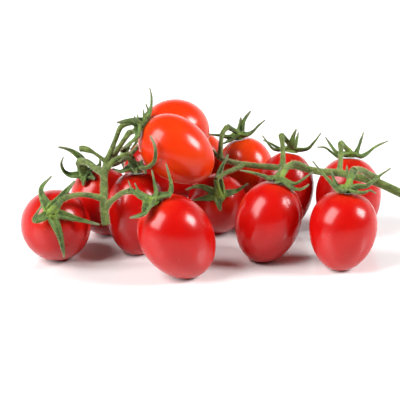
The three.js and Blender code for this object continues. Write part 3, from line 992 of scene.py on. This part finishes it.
@dataclass(frozen=True)
class Fuzz:
    """Fine stiff hairs on green tissue, thicker than real ones, which are too fine to show.

    All sizes are in millimetres.
    """

    each_mm2: float  # hairs on each square millimetre
    thickness: float = 0.07
    shortest: float = 0.4
    longest: float = 1.1
    rooted: float = 0.1
    lean: float = 0.45  # spread of their directions

    def grown_on(self, piece: Piece, seed: int) -> Piece:
        """Hairs on a piece, as one separate mesh.

        Args:
            piece: the piece that carries the hairs.
            seed: start of the random draw.

        Returns:
            The hairs, each a closed three-sided spike rooted in the skin.
        """
        draw = np.random.default_rng(seed)
        areas = face_values(piece, "area", 1)[:, 0]
        count = int(areas.sum() / MM**2 * self.each_mm2)
        chosen = draw.choice(len(areas), count, p=areas / areas.sum())
        normal = face_values(piece, "normal", 3)[chosen]
        ahead = each_unit(normal + draw.normal(0, self.lean, (count, 3)))
        length = draw.uniform(self.shortest, self.longest, count) * MM
        side = each_unit(np.cross(ahead, draw.normal(0, 1, (count, 3))))
        foot = face_values(piece, "center", 3)[chosen] - ahead * self.rooted * MM
        upright = ahead * length[:, None]
        return self.copied(piece.name + "_fuzz", foot, side, np.cross(ahead, side), upright)

    def copied(self, name: str, foot: np.ndarray, *directions: np.ndarray) -> Piece:
        """Copies of the one hair, as one mesh.

        Args:
            name: name of the new object.
            foot: where each hair stands, one a row.
            directions: for each hair, the directions that the one hair's X, Y and Z become.

        Returns:
            The hairs.
        """
        hair = self.one_hair(name)
        spike = places_of(hair)
        side, other, upright = directions
        wide = spike[None, :, :1] * side[:, None] + spike[None, :, 1:2] * other[:, None]
        copies = foot[:, None] + wide + spike[None, :, 2:] * upright[:, None]
        faces = np.array([tuple(face.vertices) for face in hair.data.polygons])
        faces = faces[None] + len(spike) * np.arange(len(foot))[:, None, None]
        hair.data.clear_geometry()
        hair.data.from_pydata(copies.reshape(-1, 3).tolist(), [], faces.reshape(-1, 3).tolist())
        return hair

    def one_hair(self, name: str) -> Piece:
        """Makes the hair that every hair is a copy of.

        Args:
            name: its name.

        Returns:
            The hair, of unit length, upright on the origin.
        """
        radius = self.thickness / 2 * MM
        bpy.ops.mesh.primitive_cone_add(vertices=3, radius1=radius, radius2=0, depth=1)
        hair = added(name)
        hair.location = (0, 0, 0.5)
        apply_place(hair)
        return hair


def downy(piece: Piece, tissue: Finish, hair: Finish, fuzz: Fuzz, seed: int) -> Piece:
    """A green piece in its finish, with its hairs joined on as one object.

    Args:
        piece: the piece, whose finish goes on here.
        tissue: its finish.
        hair: the finish of its hairs.
        fuzz: the hairs.
        seed: start of the hairs' random draw.

    Returns:
        The piece with its hairs.
    """
    piece.data.materials.clear()
    piece.data.materials.append(tissue)
    hairs = fuzz.grown_on(piece, seed)
    hairs.data.materials.append(hair)
    return joined(piece.name, [piece, hairs])


@dataclass(frozen=True)
class Tomato:
    """One fruit: a smooth full body with a dimple under the calyx and a small blossom tip."""

    plan: FruitPlan
    around: int = 72
    rings: int = 48
    dimple: float = 1.2  # mm deep
    dimple_reach: float = 3.0  # mm
    tip: float = 0.35  # mm
    shoulder: float = 0.45  # share of the half length, from which the ribs rise
    fewest_ribs: int = 3
    most_ribs: int = 5
    ribs: float = 0.012  # share of the radius
    oval: float = 0.008  # share of the radius

    def build(self, finishes: Finishes) -> Piece:
        """Makes the fruit where it lies.

        Args:
            finishes: the truss's finishes.

        Returns:
            The fruit, with its height from blossom end to stem end painted on.
        """
        bpy.ops.mesh.primitive_uv_sphere_add(segments=self.around, ring_count=self.rings, radius=1)
        piece = added(f"tomato_{self.plan.number}_skin")
        places = places_of(piece)
        paint(piece, "along", (places[:, 2] + 1) / 2)
        put_places(piece, self.laid(self.shaped(places)))
        smooth_shaded(piece)
        piece.data.materials.append(finishes.skin(self.plan.ripeness))
        return piece

    def shaped(self, ball: np.ndarray) -> np.ndarray:
        """Moves the points of a ball to the fruit's form.

        Args:
            ball: the points, one a row.

        Returns:
            The points of the upright fruit, stem end up, one a row.
        """
        draw = np.random.default_rng(int(self.plan.number))
        wide = np.hypot(ball[:, 0], ball[:, 1])
        turn = np.arctan2(ball[:, 1], ball[:, 0])
        full = ball / oval_level(wide, np.abs(ball[:, 2]))[:, None]
        shoulder = smooth_step(self.shoulder, 1.0, full[:, 2])
        lobes = draw.integers(self.fewest_ribs, self.most_ribs + 1)
        shrink = 1 - self.ribs * shoulder * (1 + np.cos(lobes * turn + draw.uniform(*PHASE))) / 2
        shrink -= self.oval * (1 + np.sin(2 * turn + draw.uniform(*PHASE))) / 2
        shrink *= tapered(self.plan.taper, full[:, 2])
        body = full * [self.plan.radius, self.plan.radius, self.plan.half]
        body[:, :2] *= shrink[:, None]
        reach = np.hypot(body[:, 0], body[:, 1]) / MM
        dent = self.dimple * np.exp(-((reach / self.dimple_reach) ** 2))
        nib = self.tip * np.exp(-(reach**2))
        body[:, 2] += np.where(body[:, 2] > 0, -dent, -nib) * MM
        return body

    def laid(self, body: np.ndarray) -> np.ndarray:
        """Turns the upright fruit to its axis and presses it flat on the floor.

        Args:
            body: the upright fruit's points, one a row.

        Returns:
            The points in their place, one a row.
        """
        turn = Vector((0, 0, 1)).rotation_difference(Vector(self.plan.axis)).to_matrix()
        placed = body @ np.array(turn).T + self.plan.centre
        placed[:, 2] = np.maximum(placed[:, 2], 0)
        return placed


@dataclass(frozen=True)
class Calyx:
    """The star on a fruit: the upper stalk, a small disc and its curled sepals.

    All sizes are in millimetres.
    """

    plan: FruitPlan
    disc_low: float = -0.15  # its underside, from the fruit's stem end
    disc_base: float = 3.2  # radius
    disc_top: float = 2.2  # radius
    disc_height: float = 1.7
    disc_sides: int = 32
    foot_out: float = 0.5
    foot_up: float = 0.4
    neck: tuple[float, ...] = (1.6, 1.45, 1.3, 1.35, 1.6, 2.1)  # radii, knuckle to disc
    # Shares of a sepal's planned width, and of its thickness, from its foot to its tip.
    outline: tuple[float, ...] = (1.5, 1.5, 1.3, 1.05, 0.85, 0.68, 0.52, 0.37, 0.22)
    thinning: tuple[float, ...] = (1.0, 0.8, 0.6, 0.5, 0.4)
    thick: float = 1.5
    least_fold: float = 0.5  # rise of a sepal's edges, as a share of its half width
    most_fold: float = 0.9
    fold_power: float = 1.4
    wave: float = 0.12
    wave_turns: float = 14  # radians along a sepal
    across: int = 6  # faces from edge to edge
    steps: int = 26  # faces from foot to tip
    grain: float = 0.2
    rounds: int = 3
    seed: int = 100  # of the hairs, with the fruit's number added

    def build(self, finishes: Finishes) -> Piece:
        """Makes the calyx and its hairs in one piece.

        Args:
            finishes: the truss's finishes.

        Returns:
            The calyx.
        """
        rows = [self.sepal_row(sepal) for sepal in self.plan.sepals]
        pairs = zip(self.plan.sepals, rows)
        blades = [self.blade(sepal, row, i) for i, (sepal, row) in enumerate(pairs)]
        radii = [self.plan.stout * radius for radius in self.neck]
        neck = tube("neck", Stalk(self.plan).halves()[1], radii)
        piece = joined(f"calyx_{self.plan.number}_green", [self.disc(), neck, *blades])
        grown_together(piece, self.grain, self.rounds)
        paint(piece, "age", self.ages(piece, rows))
        fuzz = Fuzz(each_mm2=1.6, longest=0.8)
        return downy(piece, finishes.sepal, finishes.hair, fuzz, self.seed + int(self.plan.number))

    def disc(self) -> Piece:
        """Makes the round pad that the sepals and the stalk grow from.

        Returns:
            The pad, on the fruit's stem end.
        """
        bpy.ops.mesh.primitive_cone_add(
            vertices=self.disc_sides,
            radius1=self.disc_base * MM,
            radius2=self.disc_top * MM,
            depth=self.disc_height * MM,
        )
        pad = added("disc")
        pad.rotation_mode = "QUATERNION"
        pad.rotation_quaternion = Vector((0, 0, 1)).rotation_difference(Vector(self.plan.axis))
        pad.location = self.plan.end + self.plan.axis * (self.disc_low + self.disc_height / 2) * MM
        apply_place(pad)
        return pad

    def sepal_row(self, sepal: SepalPlan) -> np.ndarray:
        """Lays out a sepal's midrib, clear of every fruit.

        Args:
            sepal: the sepal's plan.

        Returns:
            The midrib's points, foot to tip, one a row.
        """
        end, axis = self.plan.end, self.plan.axis
        points = end + np.array(sepal.points) * MM
        out = points[0] - end
        out = unit(out - axis * (out @ axis))
        foot = end + (axis * self.foot_up + out * self.foot_out) * MM
        row = curve_through(np.array([foot, *points]), self.steps)
        row = clear_of(others_than(self.plan), (sepal.width / 2 + GAP) * MM, row)
        return clear_of([self.plan], (self.thick / 2 + GAP) * MM, row)

    def blade(self, sepal: SepalPlan, row: np.ndarray, index: int) -> Piece:
        """Makes a folded, slightly wavy blade along a midrib.

        Args:
            sepal: the sepal's plan.
            row: its midrib, foot to tip.
            index: which of the calyx's sepals it is, 0 to 9.

        Returns:
            The blade, thinner towards its tip.
        """
        draw = np.random.default_rng(10 * int(self.plan.number) + index)  # its own each time
        bpy.ops.mesh.primitive_grid_add(
            x_subdivisions=self.across, y_subdivisions=self.steps, size=1
        )
        leaf = added("sepal")
        flat = places_of(leaf)
        share = flat[:, 1] + 0.5
        ups, sides = frames_along(row, self.plan.axis)
        place = np.rint(share * self.steps).astype(int)
        spread = 2 * flat[:, 0]
        half = along(self.outline, share) * sepal.width / 2 * MM
        fold = draw.uniform(self.least_fold, self.most_fold)
        fold = fold * np.abs(spread) ** self.fold_power * half
        wave = self.wave * MM * np.sin(share * self.wave_turns + draw.uniform(*PHASE)) * spread
        across = (spread * half)[:, None] * sides[place]
        put_places(leaf, row[place] + across + (fold + wave)[:, None] * ups[place])
        thickness = leaf.vertex_groups.new(name="thickness")
        for i, value in enumerate(along(self.thinning, share)):
            thickness.add([i], float(value), "REPLACE")
        apply_modifier(
            leaf, "SOLIDIFY", thickness=self.thick * MM, offset=0, vertex_group=thickness.name
        )
        return leaf

    def ages(self, piece: Piece, rows: Sequence[np.ndarray]) -> np.ndarray:
        """Finds how far out each vertex is on its sepal.

        Args:
            piece: the calyx.
            rows: the sepals' midribs.

        Returns:
            For each vertex, 0 at the foot of the nearest midrib to 1 at its tip.
        """
        tree = KDTree(sum(len(row) for row in rows))
        for row in rows:
            for i, place in enumerate(row):
                tree.insert(place, i)
        tree.balance()
        return np.array([tree.find(place)[1] for place in places_of(piece)]) / self.steps


@dataclass(frozen=True)
class Vine:
    """The main stem, the left stem, the bare stub and the stalks to their knuckles, as one."""

    stalk_radii: tuple[float, ...] = (1.9, 1.5, 1.3, 1.25, 1.25, 1.35, 1.6)  # mm, to the knuckle
    step: float = 1.6  # mm
    grain: float = 0.36  # mm
    rounds: int = 4
    age: float = 0.4  # between a sepal's foot and tip, so it has the tint of neither
    seed: int = 7  # of the hairs

    def build(self, finishes: Finishes) -> Piece:
        """Makes the vine and its hairs in one piece.

        Args:
            finishes: the truss's finishes.

        Returns:
            The vine.
        """
        stems = [self.main(plan) for plan in (RACHIS, LEFT_STEM, BARE_STUB)]
        stems += [self.stalk(plan) for plan in FRUITS]
        piece = joined("vine_green", stems)
        grown_together(piece, self.grain, self.rounds)
        paint(piece, "age", np.full(len(piece.data.vertices), self.age))
        return downy(piece, finishes.stem, finishes.hair, Fuzz(each_mm2=2.4), self.seed)

    def stalk(self, plan: FruitPlan) -> Piece:
        """A fruit's stalk up to its knuckle."""
        radii = [plan.stout * radius for radius in self.stalk_radii]
        return tube("stalk", Stalk(plan).halves()[0], radii)

    def main(self, plan: StemPlan) -> Piece:
        """Makes a thick stem.

        Args:
            plan: the stem's plan.

        Returns:
            The stem, its ends closed.
        """
        route = in_row(plan.points)
        steps = round(length_of(route) / (self.step * MM))
        return tube("stem", curve_through(route, steps), plan.radii)


# ---- studio -----------------------------------------------------------------


@dataclass(frozen=True)
class Softbox:
    """A studio light: its direction from the truss's middle, size in metres, roll and power."""

    name: str
    direction: Point
    width: float
    height: float
    roll: float  # degrees
    power: float  # watts
    distance: float = 2.8  # metres


@dataclass(frozen=True)
class Studio:
    """White sweep, two softboxes and the camera of the photograph."""

    elevation: float = 20.0  # degrees
    distance: float = 1000.0  # mm
    target: Point = (0, 0, 30)  # mm, layout
    lens: float = 180.0  # mm
    sensor: float = 36.0  # mm
    nearest: float = 0.01  # metres that the camera sees from
    farthest: float = 50  # metres that the camera sees to
    side: float = 8  # metres of the white acrylic sheet
    thickness: float = 0.05  # metres of the white acrylic sheet
    dim: str = "#383838"  # the room in front of the truss and above it
    glow: float = 1.5  # strength of the white wall behind
    # Where the wall begins and is fully white, as parts of the view's direction.
    wall_near: tuple[float, float] = (-0.2, 0.6)  # towards the back
    wall_top: tuple[float, float] = (0.7, 0.1)  # from above, downwards
    softboxes: tuple[Softbox, ...] = (
        Softbox("softbox_left", (-0.72, -0.4, 0.62), width=1.6, height=2.4, roll=0, power=175),
        Softbox("softbox_right", (0.82, -0.15, 0.58), width=1.05, height=1.1, roll=25, power=118),
    )

    def build(self, finishes: Finishes) -> None:
        """Sets up the floor, the light and the camera.

        Args:
            finishes: the finishes, the floor's among them.
        """
        self.camera()
        self.floor(finishes)
        for softbox in self.softboxes:
            self.light(softbox)
        self.world()
        view = bpy.context.scene.view_settings
        view.view_transform = "Standard"
        view.look = "None"

    def camera(self) -> None:
        """Puts the camera in front of the truss and a little above it."""
        lift = math.radians(self.elevation)
        back = np.array((0, -math.cos(lift), math.sin(lift))) * self.distance * MM
        place = in_row(self.target) + back
        bpy.ops.object.camera_add(location=place, rotation=(math.pi / 2 - lift, 0, 0))
        camera = bpy.context.object
        camera.data.lens = self.lens
        camera.data.sensor_width = self.sensor
        camera.data.clip_start = self.nearest
        camera.data.clip_end = self.farthest
        bpy.context.scene.camera = camera

    def floor(self, finishes: Finishes) -> None:
        """Lays the white surface that the truss lies on.

        Args:
            finishes: the finishes, the floor's among them.
        """
        size = (self.side, self.side, self.thickness)
        bpy.ops.mesh.primitive_cube_add(size=1, location=(0, 0, -0.5 * self.thickness), scale=size)
        floor = added("floor")
        floor.data.materials.append(finishes.floor)

    def light(self, softbox: Softbox) -> None:
        """Hangs one softbox and turns it to the truss.

        Args:
            softbox: the light.
        """
        middle = Vector(in_row(self.target))
        direction = Vector(softbox.direction).normalized()
        bpy.ops.object.light_add(type="AREA", location=middle + direction * softbox.distance)
        light = added(softbox.name)
        roll = Quaternion((0, 0, 1), math.radians(softbox.roll))
        light.rotation_euler = (direction.to_track_quat("Z", "Y") @ roll).to_euler()
        light.data.shape = "RECTANGLE"
        light.data.size = softbox.width
        light.data.size_y = softbox.height
        light.data.energy = softbox.power

    def world(self) -> None:
        """Makes a room that is white behind the truss and dim in front of it and above."""
        world = bpy.data.worlds.new("studio_room")
        world.use_nodes = True
        tree = world.node_tree
        way = add_node(tree, "TexCoord", "Generated")
        back = add_node(tree, "SeparateXYZ", "Y", {"Vector": way})
        up = back.node.outputs["Z"]
        shares = {}
        for i, (value, low, high) in enumerate(((back, *self.wall_near), (up, *self.wall_top))):
            span = {"Value": value, "From Min": low, "From Max": high}
            shares[i] = add_node(tree, "MapRange", "Result", span, interpolation_type="SMOOTHSTEP")
        wall = add_node(tree, "Math", "Value", shares, operation="MULTIPLY")
        both = {0: wall, 6: linear(self.dim), 7: linear(WHITE)}
        room = add_node(tree, "Mix", 2, both, data_type="RGBA")
        feed(tree, tree.nodes["Background"], {"Color": room, "Strength": self.glow})
        bpy.context.scene.world = world


# ---- the truss --------------------------------------------------------------


def hand_over(piece: Piece, node: str) -> None:
    """Lets a finished piece stand for its node and ride with the truss.

    Args:
        piece: the finished piece.
        node: the node that it replaces.
    """
    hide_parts(node)
    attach(piece, BODY)
    LOG.info("%s: %d faces, for %s", piece.name, len(piece.data.polygons), node)


def main() -> None:
    """Builds the studio, the vine, the calyxes and the fruits."""
    logging.basicConfig(level=logging.INFO, format="%(message)s")
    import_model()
    finishes = Finishes()
    Studio().build(finishes)
    hand_over(Vine().build(finishes), "vine")
    for plan in FRUITS:
        hand_over(Calyx(plan).build(finishes), f"calyx_{plan.number}")
        hand_over(Tomato(plan).build(finishes), f"tomato_{plan.number}")


if __name__ == "__main__":
    main()
